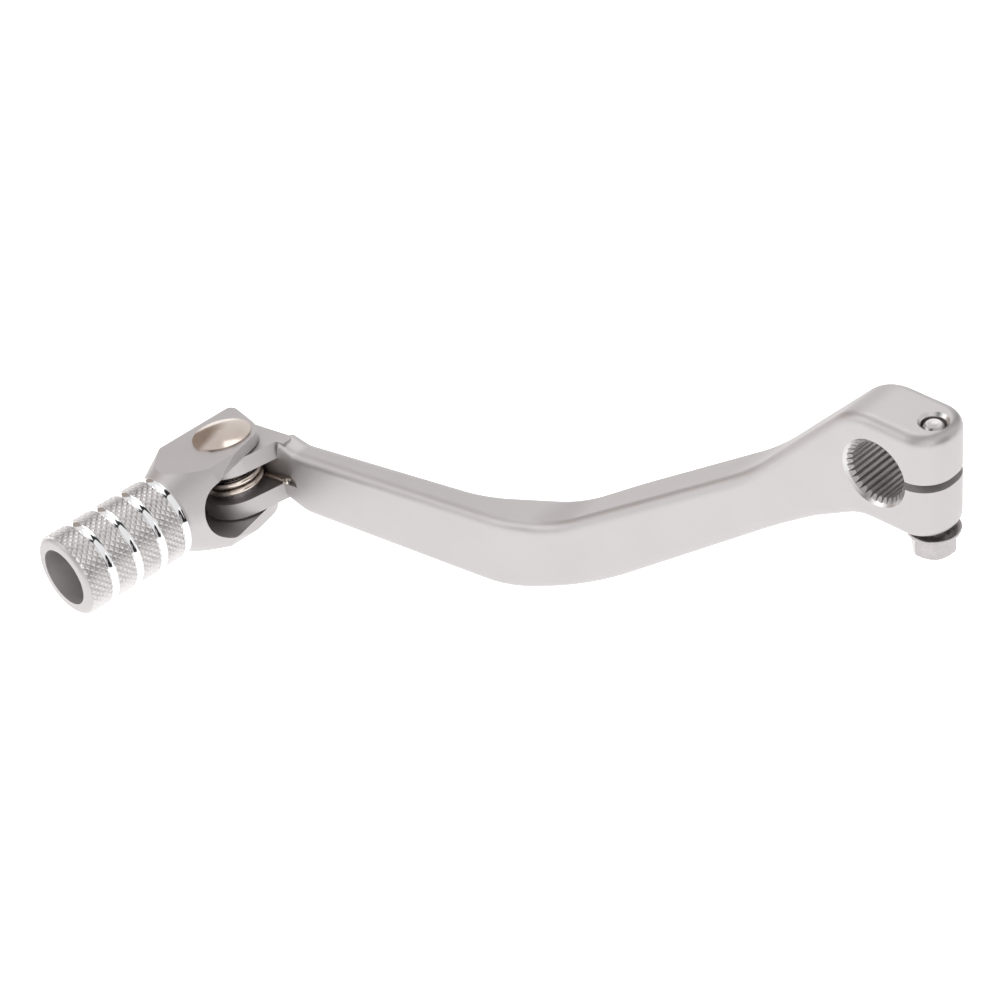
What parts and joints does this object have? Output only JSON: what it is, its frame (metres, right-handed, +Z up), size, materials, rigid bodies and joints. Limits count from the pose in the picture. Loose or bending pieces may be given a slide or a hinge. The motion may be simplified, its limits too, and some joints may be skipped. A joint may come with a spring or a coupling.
{
  "type": "gear shift lever",
  "caption": "Forged gear shift lever with splined clamp boss, kicked-out arm and sprung folding knurled toe peg",
  "frame": {"origin": "centre of the splined bore, half way through the boss", "axes": "+X towards the clamp end, with the toe peg at -X; +Y along the shift shaft towards the engine, with the toe peg standing out towards -Y; +Z up, along the clamp bolt"},
  "size_m": [0.1963, 0.0847, 0.089],
  "materials": {
    "forged_aluminium": "bead-blasted satin silver",
    "turned_aluminium": "satin silver with polished grooves and fine knurling",
    "nickel_plated_steel": "warm satin nickel plate",
    "spring_steel": "drawn wire, warm grey",
    "zinc_plated_steel": "bright zinc plate"
  },
  "bodies": {
    "arm": {"lever_arm": "forged_aluminium", "clamp_bolt": "zinc_plated_steel", "spring_sleeve": "zinc_plated_steel", "thrust_washer": "zinc_plated_steel", "torsion_spring": "spring_steel"},
    "tip": {"folding_tip": "turned_aluminium", "pivot_pin": "nickel_plated_steel", "pin_tail_washer": "zinc_plated_steel"}
  },
  "joints": [
    {"name": "tip_fold", "type": "hinge", "parent": "arm", "child": "tip", "pos_m": [-0.1675, -0.0288, -0.0644], "axis": [-0.1822, 0, 0.9833], "range_deg": [0, 62], "stiffness_Nm_per_rad": 0.15, "springref_deg": -34.38, "deforming": ["torsion_spring"]}
  ]
}
